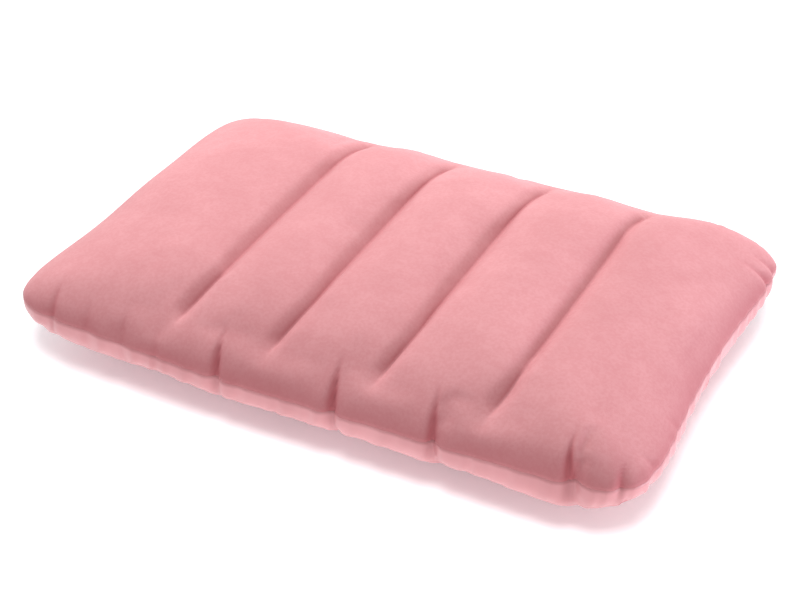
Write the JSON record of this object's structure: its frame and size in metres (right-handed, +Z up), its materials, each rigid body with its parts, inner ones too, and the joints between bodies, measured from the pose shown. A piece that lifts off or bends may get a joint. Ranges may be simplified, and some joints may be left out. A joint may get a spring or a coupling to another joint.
{
  "type": "camp pillow",
  "caption": "Small inflatable camp pillow with a flocked top panel, cross grooves pulled in by inner webs, and a push-in mouth valve at one end.",
  "frame": {"origin": "under the middle of the inflated pillow, on the surface that it rests on", "axes": "+X along the length, away from the valve's end; +Y across the width; +Z up, out of the flocked top"},
  "size_m": [0.43, 0.286, 0.09],
  "materials": {
    "flocked_top": "short flock on vinyl film, matt, salmon pink",
    "plain_bottom": "plain vinyl film, satin, lighter dusty pink",
    "web_film": "plain vinyl film, satin",
    "valve_vinyl": "soft moulded vinyl, satin",
    "flap_film": "thin clear-looking film, shown plain"
  },
  "bodies": {
    "pillow": {"top_panel": "flocked_top", "bottom_panel": "plain_bottom", "rib_web_1": "web_film", "rib_web_2": "web_film", "rib_web_3": "web_film", "rib_web_4": "web_film", "valve_base": "valve_vinyl", "valve_collar": "valve_vinyl"},
    "valve_stem": {"valve_stem": "valve_vinyl", "valve_strap": "valve_vinyl"},
    "valve_plug": {"valve_plug": "valve_vinyl"},
    "valve_flap": {"valve_flap": "flap_film"}
  },
  "joints": [
    {"name": "stem_slide", "type": "slide", "parent": "pillow", "child": "valve_stem", "axis": [-0.866, 0, -0.5], "range_m": [0, 0.015], "deforming": ["valve_collar"]},
    {"name": "plug_slide", "type": "slide", "parent": "valve_stem", "child": "valve_plug", "axis": [-0.866, 0, -0.5], "range_m": [0, 0.012], "deforming": ["valve_strap"]},
    {"name": "flap_hinge", "type": "hinge", "parent": "valve_stem", "child": "valve_flap", "pos_m": [-0.19182, 0, 0.02532], "axis": [0, 1, 0], "range_deg": [0, 70], "stiffness_Nm_per_rad": 0.0001}
  ]
}
